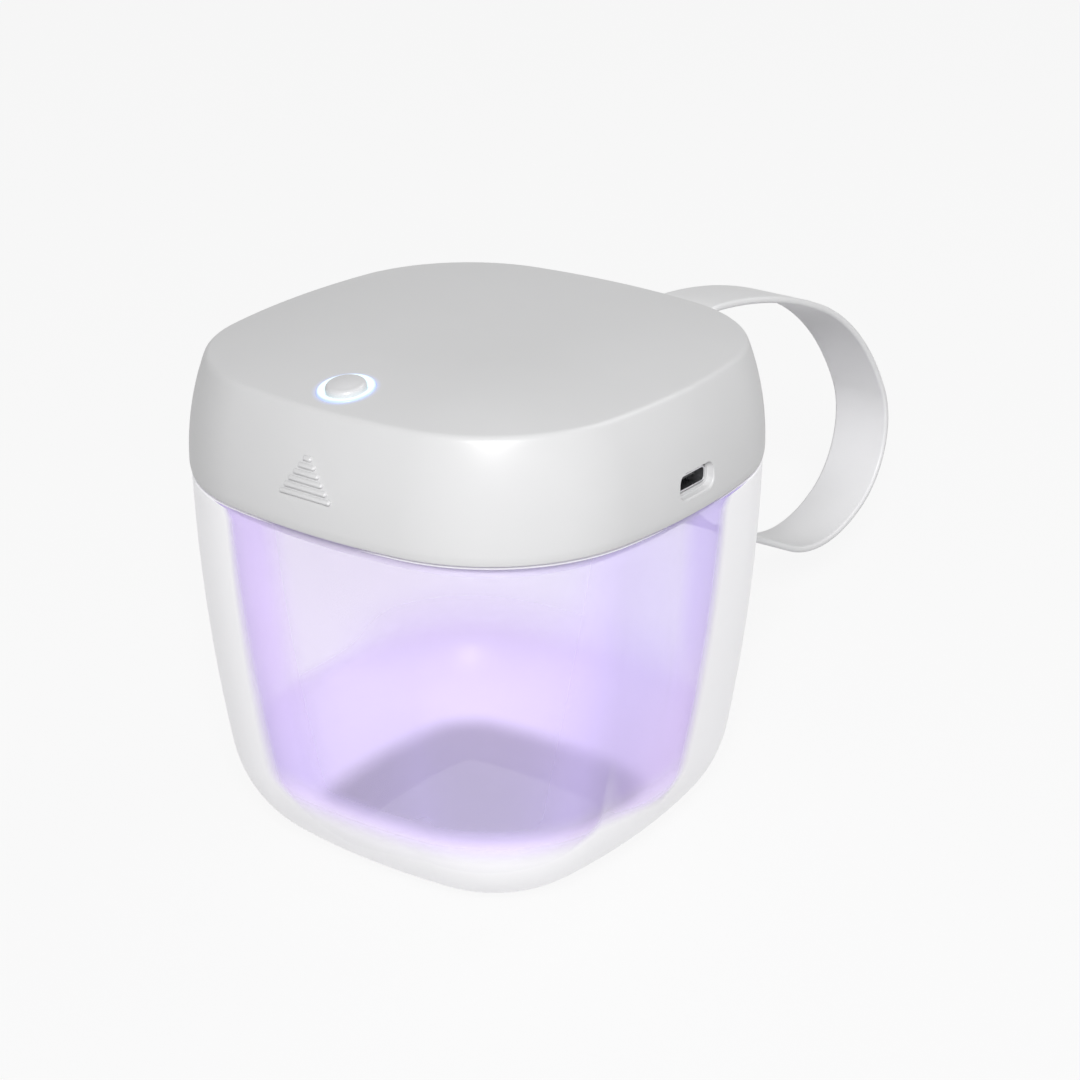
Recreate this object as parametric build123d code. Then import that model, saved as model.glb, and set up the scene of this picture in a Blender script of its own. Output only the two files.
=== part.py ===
from build123d import *
import os
from math import asin, atan2, cos, degrees, radians, sin, sqrt

os.makedirs("parts", exist_ok=True)

# Millimetres, +Z up. The case stands on Z = 0 with its front (grip and button) towards -Y,
# its charging socket towards +X, and its hinge and carrying strap towards +Y.

# Plan of the case: a square with bulged sides and large round corners
case_half = 42.0              # half width over the belly of the lid
side_bulge_radius = 111.0     # plan radius of each side
corner_radius = 28.8          # plan radius of each corner

# Bin
bin_rim_height = 65.8         # top of the outer wall
bin_rim_inset = 0.3           # lid belly to the outer wall at its rim
bin_wall = 2.4
bin_base_radius = 22.0        # rounding between wall and base
rim_lean = 0.8                # inward lean of the wall at the rim, degrees
foot_lean = 9.5               # inward lean where the wall meets the rounding, degrees
lip_thickness = 1.0           # upstand that the lid closes over
lip_height = 1.6

# Lid shell
parting_gap = 0.4             # dark line between bin and lid
lid_belly_rise = 1.8          # lower edge to the widest level
lid_edge_bulge = 5.5          # profile radius below the widest level
lid_side_bulge = 45.9         # profile radius above the widest level
lid_side_height = 18.9        # lower edge to the crease round the top
crease_round = 1.4
dome_rise = 2.9               # crown above the crease
dome_reach = 28.0             # lid belly to the flat middle of the crown
lid_wall = 1.8
lid_roof = 2.0
lip_clearance = 0.4           # lid skirt to bin lip

# Thumb grip on the front of the lid
grip_count = 6
grip_base_width = 9.9
grip_tip_width = 1.7
grip_pitch = 1.14
grip_rib_height = 0.74
grip_proud = 0.5
grip_rise = 6.2               # lower edge of the lid to the lowest rib

# Inner cover that closes the lid from below
cover_thickness = 1.6
cover_side_clearance = 0.2
cover_above_lip = 1.0
spigot_depth = 5.2            # below the cover
spigot_wall = 1.2
gasket_wall = 1.2
gasket_height = 3.2
gasket_clearance = 0.3        # gasket ribs to the bin wall
gasket_rib = 0.5
spigot_flange = 0.8

# Screws, shared by the cover and the boards
screw_radius = 0.95
screw_hole_radius = 1.0
screw_head_radius = 1.8
screw_head_height = 1.0
screw_head_clearance = 0.2
screw_tip_clearance = 0.5
boss_radius = 2.8
boss_inset = 16.5             # lid belly to the centre line of the corner bosses
lid_screw_grip = 6.0          # screw length inside the boss
post_radius = 2.2
board_screw_grip = 3.0

# Ultraviolet lamp
window_radius = 17.0
window_thickness = 1.0
window_ledge = 2.0            # cover lip under the window's edge
window_clearance = 0.1
reflector_height = 4.7
reflector_wall = 0.8
reflector_mouth_radius = 14.8
reflector_throat_radius = 8.5
lamp_board_width = 14.0
board_thickness = 1.2
lamp_post_reach = 20.4        # lamp axis to each post
lamp_led_size = 3.5
lamp_led_height = 0.8
lamp_led_spacing = 6.4
board_gap = 0.1               # running gap above a part that touches nothing
board_round = 2.0             # corners of the boards in plan
board_margin = 0.6            # board edge to its posts

# Charging socket and main board
socket_floor_gap = 0.1        # cover to the underside of the socket
socket_width = 7.4
socket_height = 2.6
socket_depth = 5.6
socket_skin = 0.25
socket_round = 0.8
socket_back = 1.0             # thickness behind the tongue
socket_clearance = 0.25       # socket to the slot in the lid
socket_setback = 1.3          # depth of the recess round the mouth
recess_width = 9.1
recess_height = 4.2
recess_round = 1.6
tongue_width = 4.9
tongue_height = 0.6
tongue_length = 3.6
main_board_width = 15.0       # along X
main_board_length = 38.0      # along Y
main_board_gap = 2.4          # board edge to the lid's inner wall
main_post_reach = 15.0        # along Y
connector_size = (3.0, 4.0, 2.0)
connector_spacing = 14.0
chip_shift = 1.0              # chips from the board's middle line, towards the socket
chip_sizes = ((6.0, 5.0, 1.2), (4.0, 4.0, 2.0), (3.0, 3.0, 1.0))
chip_places = (-7.0, 0.0, 6.5)

# Battery and interlock
battery_length = 40.0
battery_board_gap = 2.6       # lamp board to the battery
battery_height = 6.8
battery_round = 2.0
battery_gap = 3.4             # battery to the lid's rear wall
sensor_size = (4.0, 1.5, 3.0)
sensor_gap = 0.6              # sensor to the battery
magnet_radius = 1.5
magnet_thickness = 1.1
magnet_clearance = 0.1

# Button stack, measured along the button's own axis
button_inset = 10.1           # lid belly at the front to the button
ring_outer_radius = 4.5
ring_inner_radius = 3.4
ring_clearance = 0.1
ring_proud = 0.15
ring_flange = 1.0             # flange beyond the hole, seated in the roof
ring_seat = 1.4               # surface to the flange
ring_step = 1.5               # surface to the step that holds the cap
ring_chamber_radius = 4.1
ring_depth = 5.2              # surface to the lower end
ring_board_gap = 0.8          # ring to the board below it
button_radius = 3.2
button_proud = 1.0
button_crown = 0.3
button_chamfer = 0.5
button_flange_radius = 3.8
button_flange_thickness = 0.6
button_play = 0.2             # flange to the ring's step
stem_radius = 1.3
stem_length = 1.0
button_travel = 0.6
plunger_radius = 0.9
plunger_length = 1.3
plunger_clearance = 0.1
switch_size = 4.6
switch_height = 2.0
ring_led_count = 4
ring_led_size = (1.6, 0.8, 0.7)
button_board_length = 22.0
button_board_width = 12.5
button_post_reach = 8.7

# Hinge and strap
pivot_stand_off = 3.6         # lid belly to the hinge axis
pin_radius = 1.0
pin_press = 0.02              # pin to the bracket's ears
pin_running = 0.06            # pin to the lid's knuckles
strap_running = 0.08          # pin to the strap's eye
knuckle_radius = 2.9
strap_width = 11.8
strap_thickness = 1.3
strap_edge_round = 0.45
side_play = 0.4               # strap to the ears, along the pin
knuckle_play = 0.3            # ears to the lid's knuckles, along the pin
ear_width = 3.2
knuckle_width = 3.8
knuckle_web = (0.4, 5.0)      # height above the belly where the knuckle meets the wall
knuckle_web_depth = (1.3, 2.1)  # depth of that web below the lid's surface
bracket_thickness = 1.9
bracket_gap = 0.05            # bracket to the bin wall
bracket_drop = 10.6           # height of the bracket's legs
bridge_height = 4.1
bridge_relief = (0.5, 1.6)    # depth and height cut from the bridge's lower edge, to clear the strap
bracket_below_rim = 2.2
bracket_round = 1.5
ear_root_height = 6.5
ear_root_inset = 0.6
stake_radius = 1.4
stake_clearance = 0.1
stake_head_radius = 2.1
stake_head_height = 0.8
stake_rise = 1.2              # bracket's foot to the stake's head

# Strap, from the eye round the loop and back: a heading, then bends that turn clockwise
strap_heading = 34.0
strap_root = 10.0
strap_bend_radii = (12.6, 113.9, 54.9, 16.2, 29.1)
strap_bend_turns = (39.8, 18.1, 37.8, 90.0, 54.5)
strap_run = 28.8
strap_return_radii = (30.7, 46.7)
strap_return_turns = (50.8, 15.8)

# Leads inside the lid
lead_radius = 0.6
lead_bend = 2.5
lead_run = 4.0                # straight run out of each end

# Extra length of a solid that is trimmed, and small bite of one that is joined
overreach = 3.0
bite = 0.2

# Sizes and levels that follow from the dimensions
bin_rim_half = case_half - bin_rim_inset
dome_flat_half = case_half - dome_reach
button_reach = case_half - button_inset
lid_edge = bin_rim_height + parting_gap
lid_belly = lid_edge + lid_belly_rise
crease_height = lid_edge + lid_side_height
crown_height = crease_height + dome_rise
lip_top = bin_rim_height + lip_height
cover_bottom = lip_top + cover_above_lip
cover_top = cover_bottom + cover_thickness
socket_axis = cover_top + socket_floor_gap + socket_height / 2
main_board_bottom = socket_axis + socket_height / 2
main_board_top = main_board_bottom + board_thickness
reflector_top = cover_top + reflector_height
lamp_board_bottom = reflector_top + board_gap
lamp_board_top = lamp_board_bottom + board_thickness
button_board_depth = ring_depth + ring_board_gap
pivot_y = case_half + pivot_stand_off
pivot_z = lid_belly


def polar(distance, angle):
    return (distance * cos(radians(angle)), distance * sin(radians(angle)))


def plan_face(half, height=0.0):
    """Rounded square whose sides lie half from the axis. Every size shares the same arc centres."""
    inset = case_half - half
    side_centre = case_half - side_bulge_radius
    spread = side_bulge_radius - corner_radius
    corner_centre = (side_centre + sqrt(2 * spread**2 - side_centre**2)) / 2
    side_span = degrees(atan2(corner_centre, corner_centre - side_centre))
    edges = []
    for turn in (0, 90, 180, 270):
        side = polar(side_centre, turn)
        corner = polar(corner_centre * sqrt(2), turn + 45)
        edges.append(CenterArc(side, side_bulge_radius - inset, turn - side_span, 2 * side_span))
        edges.append(CenterArc(corner, corner_radius - inset, turn + side_span, 90 - 2 * side_span))
    return Pos(0, 0, height) * Face(Wire(edges))


def plan_block(half, bottom, top):
    return extrude(plan_face(half, bottom), top - bottom)


def plan_ring(outer, inner, bottom, top):
    return plan_block(outer, bottom, top) - plan_block(inner, bottom - 1, top + 1)


def skin(levels):
    """Smooth solid through rounded squares given as (half, height)."""
    return loft([plan_face(half, height) for half, height in levels])


def between(first, last, steps):
    return [first + (last - first) * step / steps for step in range(steps + 1)]


def post(x, y, radius, bottom, top):
    return Pos(x, y, (bottom + top) / 2) * Cylinder(radius, top - bottom)


def block(x, y, z):
    """Box between pairs of limits."""
    sizes = [high - low for low, high in (x, y, z)]
    centre = [(high + low) / 2 for low, high in (x, y, z)]
    return Pos(*centre) * Box(*sizes)


def corners(reach):
    return [(x, y) for x in (-reach, reach) for y in (-reach, reach)]


# ------------------------------------------------------------------ bin

def bin_profile():
    """Radius of the wall's tall arc, and its centre in (half width, height)."""
    foot, rim = radians(foot_lean), radians(rim_lean)
    bend_height = bin_base_radius * (1 - sin(foot))
    radius = (bin_rim_height - bend_height) / (sin(foot) - sin(rim))
    return radius, bin_rim_half - radius * cos(rim), bin_rim_height + radius * sin(rim)


def bin_levels(inset):
    foot, rim = radians(foot_lean), radians(rim_lean)
    wall_bulge, centre_half, centre_height = bin_profile()
    base_centre = centre_half + (wall_bulge - bin_base_radius) * cos(foot)
    levels = []
    for lean in between(radians(90), foot, 7)[:-1]:
        reach = bin_base_radius - inset
        levels.append((base_centre + reach * cos(lean), bin_base_radius - reach * sin(lean)))
    for lean in between(foot, rim, 5):
        reach = wall_bulge - inset
        levels.append((centre_half + reach * cos(lean), centre_height - reach * sin(lean)))
    return levels


def bin_wall_y(height):
    """Half width of the bin's side at one height."""
    wall_bulge, centre_half, centre_height = bin_profile()
    return centre_half + sqrt(wall_bulge**2 - (centre_height - height)**2)


mouth_half = bin_levels(bin_wall)[-1][0]
lip_half = mouth_half + lip_thickness
bracket_top = bin_rim_height - bracket_below_rim
bracket_foot = bracket_top - bracket_drop
bracket_face = bin_wall_y(bracket_top) + bracket_thickness
ear_start = strap_width / 2 + side_play
ear_end = ear_start + ear_width
knuckle_start = ear_end + knuckle_play
knuckle_end = knuckle_start + knuckle_width
stake_x = (ear_end + knuckle_end) / 2
stake_z = bracket_foot + stake_head_radius + stake_rise


def bin_shell():
    cavity = skin(bin_levels(bin_wall))
    cavity += plan_block(mouth_half, cavity.bounding_box().max.Z - 0.01, lip_top + 1)
    shell = skin(bin_levels(0)) + plan_block(lip_half, bin_rim_height - 1, lip_top)
    shell -= cavity
    for side in (-1, 1):
        wall = bin_wall_y(stake_z) - bin_wall / 2
        stake = Pos(side * stake_x, (wall + bracket_face) / 2, stake_z) * Rot(90, 0, 0) * Cylinder(
            stake_radius, bracket_face - wall)
        head = Pos(side * stake_x, bracket_face + stake_head_height / 2, stake_z) * Rot(90, 0, 0) * Cylinder(
            stake_head_radius, stake_head_height)
        head = fillet(head.edges().sort_by(Axis.Y)[-1], stake_head_height * 0.6)
        shell += stake + head
    return shell


# ------------------------------------------------------------------ hinge

def along_pin(profile, start, end):
    """Solid between two distances along the hinge axis, from a profile drawn in (Y, Z)."""
    return extrude(Pos(start, 0, 0) * (Plane.YZ * profile), end - start, dir=(1, 0, 0))


def pin_bore(clearance, reach):
    return Pos(0, pivot_y, pivot_z) * Rot(0, 90, 0) * Cylinder(pin_radius + clearance, 2 * reach)


def hinge_pin():
    return pin_bore(0, knuckle_end)


def eye_to(rectangle_y, rectangle_z):
    """Profile of a knuckle that runs into a rectangle."""
    y0, y1 = rectangle_y
    z0, z1 = rectangle_z
    foot = Polyline((y0, z0), (y1, z0), (y1, z1), (y0, z1), close=True)
    ring = CenterArc((pivot_y, pivot_z), knuckle_radius, 0, 360)
    return make_hull(foot.edges() + ring.edges())


def hinge_bracket():
    wall = bin_wall_y(bracket_top)
    envelope = skin(bin_levels(-bracket_gap))
    depth, height = bridge_relief
    bridge_foot = bracket_top - bridge_height
    bridge = Polyline(
        (wall - overreach, bridge_foot), (bracket_face - depth, bridge_foot),
        (bracket_face, bridge_foot + height), (bracket_face, bracket_top), (wall - overreach, bracket_top),
        close=True)
    bracket = along_pin(make_face(bridge), -ear_end, ear_end)
    for side in (-1, 1):
        limits = sorted((side * ear_start, side * knuckle_end))
        leg = block(limits, (wall - overreach, bracket_face), (bracket_foot, bracket_top))
        outer = leg.edges().filter_by(Axis.Y).group_by(Axis.X)[0 if side < 0 else -1]
        bracket += fillet(outer, bracket_round)
        ear = eye_to((wall + ear_root_inset, bracket_face), (bracket_top - ear_root_height, bracket_top))
        ear_limits = sorted((side * ear_start, side * ear_end))
        bracket += along_pin(ear, *ear_limits)
        bracket -= Pos(side * stake_x, wall, stake_z) * Rot(90, 0, 0) * Cylinder(
            stake_radius + stake_clearance, 4 * overreach)
    bracket -= envelope
    bracket -= pin_bore(pin_press, knuckle_end)
    bracket -= magnet(magnet_clearance)
    return bracket


def magnet(clearance=0.0):
    middle = bracket_top - bridge_height / 2
    face = bin_wall_y(middle) + 2 * bracket_gap
    centre = face + magnet_thickness / 2
    disc = Cylinder(magnet_radius + clearance, magnet_thickness + 2 * clearance)
    return Pos(0, centre, middle) * Rot(90, 0, 0) * disc


# ------------------------------------------------------------------ strap

def strap_path():
    """Edges of the loop's middle line, in (Y, Z)."""
    place, heading = (pivot_y, pivot_z), strap_heading
    edges = []

    def straight(length):
        nonlocal place
        step = polar(length, heading)
        end = (place[0] + step[0], place[1] + step[1])
        edges.append(Line(place, end))
        place = end

    def bend(radius, turn):
        nonlocal place, heading
        away = polar(radius, heading - 90)
        centre = (place[0] + away[0], place[1] + away[1])
        edges.append(CenterArc(centre, radius, heading + 90, -turn))
        heading -= turn
        back = polar(radius, heading + 90)
        place = (centre[0] + back[0], centre[1] + back[1])

    straight(strap_root)
    for radius, turn in zip(strap_bend_radii, strap_bend_turns):
        bend(radius, turn)
    straight(strap_run)
    for radius, turn in zip(strap_return_radii, strap_return_turns):
        bend(radius, turn)
    return edges


def strap():
    edges = [Plane.YZ * edge for edge in strap_path()]
    path = Wire(edges)
    start = Plane(origin=path @ 0, x_dir=(1, 0, 0), z_dir=path % 0)
    section = start * RectangleRounded(strap_width, strap_thickness, strap_edge_round)
    band = sweep(section, path=path)
    eye = Pos(0, pivot_y, pivot_z) * Rot(0, 90, 0) * Cylinder(knuckle_radius, strap_width)
    return band + eye - pin_bore(strap_running, strap_width)


# ------------------------------------------------------------------ lid

def lid_half(height, inset=0.0):
    """Half width of the lid's side at one height above the belly."""
    return case_half - lid_side_bulge + sqrt((lid_side_bulge - inset)**2 - (height - lid_belly)**2)


crease_half = lid_half(crease_height)
roof_edge = crease_height - lid_roof


def crown(half, base):
    """Levels of the domed top, from its edge to its flat middle."""
    levels = []
    for share in between(1.0, 0.0, 5):
        level = dome_flat_half + (half - dome_flat_half) * share
        levels.append((level, base + dome_rise * (1 - share**2)))
    return levels


def crown_at(reach):
    """Height and slope of the top on its middle line."""
    share = (reach - dome_flat_half) / (crease_half - dome_flat_half)
    slope = 2 * dome_rise * share / (crease_half - dome_flat_half)
    return crease_height + dome_rise * (1 - share**2), degrees(atan2(slope, 1))


button_z, button_tilt = crown_at(button_reach)
button_frame = Pos(0, -button_reach, button_z) * Rot(button_tilt, 0, 0)
lid_inner_half = case_half - lid_wall
boss_reach = case_half - boss_inset


def lid_outside():
    levels = []
    for height in between(lid_edge, lid_belly, 2)[:-1]:
        drop = lid_belly - height
        levels.append((case_half - lid_edge_bulge + sqrt(lid_edge_bulge**2 - drop**2), height))
    for height in between(lid_belly, crease_height, 6):
        levels.append((lid_half(height), height))
    body = skin(levels) + skin(crown(crease_half, crease_height))
    crease = body.edges().filter_by(
        lambda edge: abs(edge.center().Z - crease_height) < 0.05 and edge.bounding_box().size.Z < 0.1)
    return fillet(crease, crease_round)


def lid_inside():
    levels = [(lid_half(height, lid_wall), height) for height in between(lid_belly, roof_edge, 5)]
    inside = skin(levels) + skin(crown(levels[-1][0], roof_edge))
    return inside + plan_block(lip_half + lip_clearance, lid_edge - overreach, lid_belly + bite)


def grip_ribs():
    ribs = []
    for index in range(grip_count):
        share = index / (grip_count - 1)
        width = grip_base_width + (grip_tip_width - grip_base_width) * share
        height = lid_edge + grip_rise + index * grip_pitch
        face = lid_half(height) + grip_proud
        outline = SlotOverall(width, grip_rib_height)
        ribs.append(extrude(Pos(0, -face, height) * Rot(90, 0, 0) * outline, -lid_wall - grip_proud / 2))
    return ribs


def lid_shell():
    outside = lid_outside()
    shell = outside - lid_inside()
    for rib in grip_ribs():
        shell += rib
    for x, y in corners(boss_reach):
        shell += post(x, y, boss_radius, cover_top, crown_height) & outside
        shell -= post(x, y, screw_hole_radius, cover_top - overreach,
                      cover_top + lid_screw_grip + screw_tip_clearance)
    for side in (-1, 1):
        post_x = side * button_post_reach
        shell += button_frame * post(post_x, 0, post_radius, -button_board_depth, -lid_roof / 2)
        shell -= button_frame * post(post_x, 0, screw_hole_radius, -button_board_depth - overreach,
                                     -button_board_depth + board_screw_grip)
        web = eye_to([case_half - depth for depth in reversed(knuckle_web_depth)],
                     [lid_belly + rise for rise in knuckle_web])
        limits = sorted((side * knuckle_start, side * knuckle_end))
        shell += along_pin(web, *limits)
    shell -= pin_bore(pin_running, knuckle_end + overreach)
    shell -= button_frame * Cylinder(ring_outer_radius + ring_clearance, 4 * lid_roof)
    flange_hole = ring_outer_radius + ring_flange + ring_clearance
    shell -= button_frame * post(0, 0, flange_hole, -ring_depth, -ring_seat)
    recess = Plane.YZ * RectangleRounded(recess_width, recess_height, recess_round)
    slot = Plane.YZ * RectangleRounded(socket_width + 2 * socket_clearance,
                                       socket_height + 2 * socket_clearance, recess_round / 2)
    shell -= extrude(Pos(socket_mouth, 0, socket_axis) * recess, socket_setback + overreach, dir=(1, 0, 0))
    shell -= extrude(Pos(socket_mouth - lid_wall, 0, socket_axis) * slot, 2 * lid_wall, dir=(1, 0, 0))
    return shell


socket_mouth = lid_half(socket_axis) - socket_setback
main_board_edge = lid_inner_half - main_board_gap
main_post_x = main_board_edge - main_board_width / 2
connector_x = main_board_edge - main_board_width + connector_size[0] / 2
lamp_board_end = lamp_post_reach + post_radius + board_margin
battery_back = lid_inner_half - battery_gap
battery_front = lamp_board_end + battery_board_gap


def inner_cover():
    plate_half = lid_inner_half - cover_side_clearance
    cover = plan_block(plate_half, cover_bottom, cover_top)
    spigot_half = gasket_half - gasket_wall
    cover += plan_ring(spigot_half, spigot_half - spigot_wall, cover_bottom - spigot_depth, cover_bottom)
    cover += plan_ring(gasket_half - gasket_rib, spigot_half - spigot_wall, cover_bottom - spigot_depth,
                       cover_bottom - spigot_depth + spigot_flange)
    cover -= Pos(0, 0, cover_bottom) * Cylinder(window_radius - window_ledge, 4 * cover_thickness)
    cover -= post(0, 0, window_radius + window_clearance, cover_top - window_thickness, cover_top + 1)
    for y in (-lamp_post_reach, lamp_post_reach):
        cover += post(0, y, post_radius, cover_top, lamp_board_bottom)
        cover -= post(0, y, screw_hole_radius,
                      lamp_board_bottom - board_screw_grip - screw_tip_clearance, lamp_board_top)
    for y in (-main_post_reach, main_post_reach):
        cover += post(main_post_x, y, post_radius, cover_top, main_board_bottom)
        cover -= post(main_post_x, y, screw_hole_radius, main_board_bottom - board_screw_grip, main_board_top)
    for x, y in corners(boss_reach):
        cover -= post(x, y, screw_hole_radius, cover_bottom - 1, cover_top + 1)
        cover -= post(x, y, screw_head_radius + screw_head_clearance, cover_bottom - 1,
                      cover_bottom + screw_head_height)
    return cover


gasket_half = mouth_half - gasket_clearance


def lid_gasket():
    bottom = cover_bottom - spigot_depth + spigot_flange
    inner = gasket_half - gasket_wall
    ring = plan_ring(gasket_half - gasket_rib, inner, bottom, bottom + gasket_height)
    for share in (0.25, 0.75):
        middle = bottom + gasket_height * share
        ring += plan_ring(gasket_half, inner, middle - gasket_rib / 2, middle + gasket_rib / 2)
    return ring


# ------------------------------------------------------------------ screws

def screw(x, y, seat, grip, head_up):
    """Pan-head screw whose head sits on the seat level."""
    sense = 1 if head_up else -1
    head = sorted((seat, seat + sense * screw_head_height))
    shank = sorted((seat, seat - sense * grip))
    return post(x, y, screw_head_radius, *head) + post(x, y, screw_radius, *shank)


def lid_screws():
    seat = cover_bottom + screw_head_height
    grip = cover_top - seat + lid_screw_grip
    return Compound([screw(x, y, seat, grip, False) for x, y in corners(boss_reach)])


def lamp_board_screws():
    grip = board_thickness + board_screw_grip
    return Compound([screw(0, y, lamp_board_top, grip, True) for y in (-lamp_post_reach, lamp_post_reach)])


def main_board_screws():
    grip = board_thickness + board_screw_grip - screw_tip_clearance
    return Compound([screw(main_post_x, y, main_board_top, grip, True)
                     for y in (-main_post_reach, main_post_reach)])


def button_board_screws():
    seat = -button_board_depth - board_thickness
    grip = board_thickness + board_screw_grip - screw_tip_clearance
    return Compound([button_frame * screw(x, 0, seat, grip, False)
                     for x in (-button_post_reach, button_post_reach)])


# ------------------------------------------------------------------ ultraviolet lamp

def uv_window():
    return post(0, 0, window_radius, cover_top - window_thickness, cover_top)


def uv_reflector():
    outer, throat = reflector_mouth_radius, reflector_throat_radius
    rim = outer + reflector_wall
    outline = Polyline(
        (outer, cover_top), (window_radius, cover_top), (window_radius, cover_top + reflector_wall),
        (rim, cover_top + reflector_wall), (throat + reflector_wall, reflector_top), (throat, reflector_top),
        close=True)
    return revolve(Plane.XZ * make_face(outline), Axis.Z)


def uv_board():
    outline = RectangleRounded(lamp_board_width, 2 * lamp_board_end, board_round)
    board = extrude(Pos(0, 0, lamp_board_bottom) * outline, board_thickness)
    for y in (-lamp_post_reach, lamp_post_reach):
        board -= post(0, y, screw_hole_radius, lamp_board_bottom - 1, lamp_board_top + 1)
    return board


def uv_leds():
    reach = lamp_led_spacing / 2
    height = lamp_board_bottom - lamp_led_height / 2
    return Compound([Pos(x, y, height) * Box(lamp_led_size, lamp_led_size, lamp_led_height)
                     for x, y in corners(reach)])


# ------------------------------------------------------------------ main board and battery

def main_board():
    outline = RectangleRounded(main_board_width, main_board_length, board_round)
    board = extrude(Pos(main_post_x, 0, main_board_bottom) * outline, board_thickness)
    for y in (-main_post_reach, main_post_reach):
        board -= post(main_post_x, y, screw_hole_radius, main_board_bottom - 1, main_board_top + 1)
    return board


def board_chips():
    chips = []
    for (width, length, height), y in zip(chip_sizes, chip_places):
        middle = Pos(main_post_x + chip_shift, y, main_board_top + height / 2)
        chips.append(middle * Box(width, length, height))
    return Compound(chips)


def board_connectors():
    width, length, height = connector_size
    return Compound([Pos(connector_x, y, main_board_top + height / 2) * Box(width, length, height)
                     for y in (-connector_spacing, 0, connector_spacing)])


def usb_socket():
    outline = RectangleRounded(socket_width, socket_height, socket_round)
    inside = RectangleRounded(socket_width - 2 * socket_skin, socket_height - 2 * socket_skin,
                              socket_round - socket_skin)
    back = Pos(socket_mouth - socket_depth, 0, socket_axis)
    body = extrude(back * (Plane.YZ * outline), socket_depth, dir=(1, 0, 0))
    return body - extrude(Pos(socket_back, 0, 0) * back * (Plane.YZ * inside), socket_depth, dir=(1, 0, 0))


def usb_tongue():
    back = socket_mouth - socket_depth + socket_back
    return block((back, back + tongue_length), (-tongue_width / 2, tongue_width / 2),
                 (socket_axis, socket_axis + tongue_height))


def battery():
    pack = block((-battery_length / 2, battery_length / 2), (battery_front, battery_back),
                 (cover_top, cover_top + battery_height))
    return fillet(pack.edges().filter_by(Axis.X), battery_round)


def hall_sensor():
    width, depth, height = sensor_size
    front = battery_back + sensor_gap
    return block((-width / 2, width / 2), (front, front + depth), (cover_top, cover_top + height))


# ------------------------------------------------------------------ button

stem_end = -ring_step - button_play - button_flange_thickness - stem_length


def turned(outline):
    return button_frame * revolve(Plane.XZ * make_face(outline), Axis.Z)


def light_ring():
    flange_top = -ring_seat
    flange_radius = ring_outer_radius + ring_flange
    return turned(Polyline(
        (ring_inner_radius, ring_proud), (ring_outer_radius, ring_proud), (ring_outer_radius, flange_top),
        (flange_radius, flange_top), (flange_radius, -ring_depth), (ring_chamber_radius, -ring_depth),
        (ring_chamber_radius, -ring_step), (ring_inner_radius, -ring_step), close=True))


def button_cap():
    flange_top = -ring_step - button_play
    flange_bottom = flange_top - button_flange_thickness
    crown_edge = button_radius - button_chamfer
    side = Polyline(
        (0, button_proud + button_crown), (0, stem_end), (stem_radius, stem_end),
        (stem_radius, flange_bottom), (button_flange_radius, flange_bottom),
        (button_flange_radius, flange_top), (button_radius, flange_top),
        (button_radius, button_proud - button_chamfer), (crown_edge, button_proud))
    crown_radius = (crown_edge**2 + button_crown**2) / (2 * button_crown)
    crown_span = degrees(asin(crown_edge / crown_radius))
    crown_centre = (0, button_proud + button_crown - crown_radius)
    top = CenterArc(crown_centre, crown_radius, 90 - crown_span, crown_span)
    return turned(side.edges() + top.edges())


def switch_plunger():
    return button_frame * post(0, 0, plunger_radius, stem_end - plunger_length, stem_end)


def tact_switch():
    top = -button_board_depth + switch_height
    sides = (-switch_size / 2, switch_size / 2)
    body = block(sides, sides, (-button_board_depth, top))
    bore = post(0, 0, plunger_radius + plunger_clearance,
                stem_end - plunger_length - button_travel - plunger_clearance, top + 1)
    return button_frame * (body - bore)


def button_board():
    outline = RectangleRounded(button_board_length, button_board_width, board_round)
    board = extrude(Pos(0, 0, -button_board_depth - board_thickness) * outline, board_thickness)
    for x in (-button_post_reach, button_post_reach):
        board -= post(x, 0, screw_hole_radius, -button_board_depth - overreach, -button_board_depth + 1)
    return button_frame * board


def ring_leds():
    radius = (ring_chamber_radius + ring_outer_radius + ring_flange) / 2
    length, depth, height = ring_led_size
    leds = []
    for index in range(ring_led_count):
        angle = 45 + 360 / ring_led_count * index
        chip = Pos(radius, 0, -button_board_depth + height / 2) * Box(depth, length, height)
        leds.append(button_frame * (Rot(0, 0, angle) * chip))
    return Compound(leds)


# ------------------------------------------------------------------ leads

lead_level = main_board_top + connector_size[2] / 2
connector_face = connector_x - connector_size[0] / 2


def lead(place, *points):
    """Lead through the points, and into the main board's connector at one place along Y."""
    run_in = (connector_face - lead_run, place, lead_level)
    path = FilletPolyline(*points, run_in, (connector_face, place, lead_level), radius=lead_bend)
    start = Plane(origin=path @ 0, z_dir=path % 0)
    return sweep(start * Circle(lead_radius), path=path)


def battery_lead():
    x = battery_length / 2 - lead_run
    halfway = (battery_front + connector_spacing) / 2
    return lead(connector_spacing, (x, battery_front, lead_level), (x, halfway, lead_level))


def uv_lead():
    edge = lamp_board_width / 2
    level = (lamp_board_bottom + lamp_board_top) / 2
    return lead(0, (edge, 0, level), (edge + lead_run, 0, level))


def button_lead():
    """From the rear edge of the tilted board down to the front connector."""
    edge = button_frame * Pos(main_board_width / 2, button_board_width / 2,
                              -button_board_depth - board_thickness / 2)
    start = edge.position
    tangent = Vector(0, cos(radians(button_tilt)), sin(radians(button_tilt)))
    return lead(-connector_spacing, start, start + tangent * lead_run)


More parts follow.
